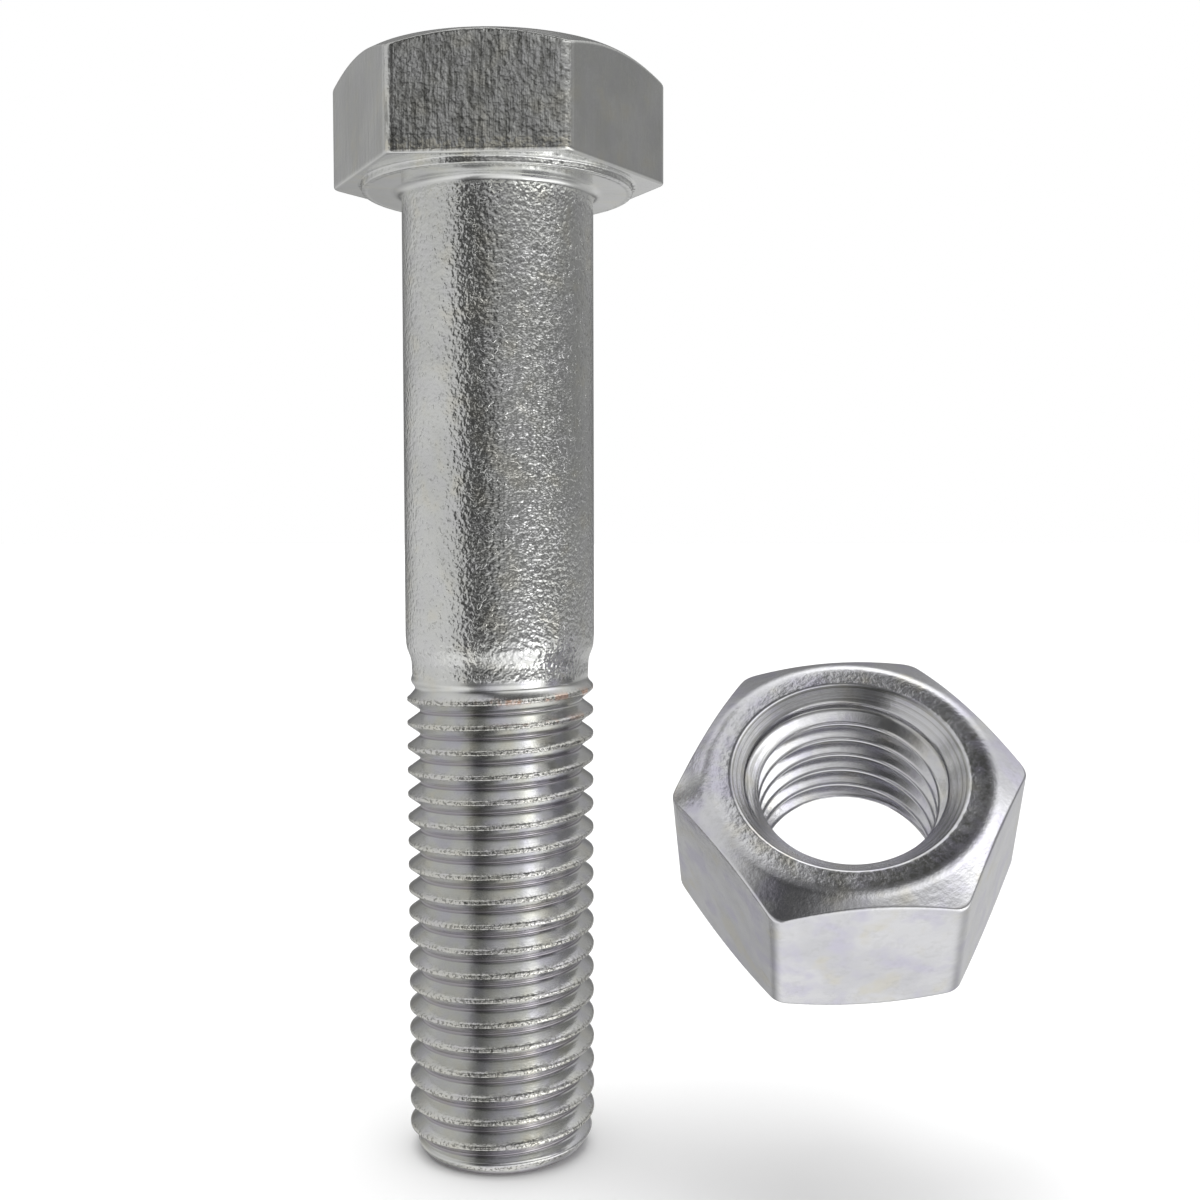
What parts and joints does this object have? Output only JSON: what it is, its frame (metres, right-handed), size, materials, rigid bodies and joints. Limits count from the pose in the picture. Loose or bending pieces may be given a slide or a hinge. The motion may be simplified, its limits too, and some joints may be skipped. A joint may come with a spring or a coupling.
{
  "type": "hex bolt",
  "caption": "Partly threaded hexagon-head bolt with a washer face and a chamfered tip, and its matching chamfered hexagon nut, in bright zinc-plated steel.",
  "frame": {"origin": "centre of the flat end of the bolt's threaded tip", "axes": "+Z along the bolt's axis from the tip to the head, -Y out of the head's front flat, +X towards the nut"},
  "size_m": [0.0565, 0.0301, 0.09],
  "materials": {
    "bolt_zinc": "bright zinc plate over forged and rolled steel, satin, with a fine pitted grain",
    "nut_zinc": "bright zinc plate over turned steel, shinier than the bolt, with faint turning marks"
  },
  "bodies": {
    "bolt": {"hex_bolt": "bolt_zinc"},
    "nut": {"hex_nut": "nut_zinc"}
  },
  "joints": [
    {"name": "nut_turn", "type": "hinge", "parent": "bolt", "child": "nut", "pos_m": [0.0285, -0.0047, 0.0284], "axis": [-0.0583, -0.6666, 0.7431], "continuous": true}
  ]
}
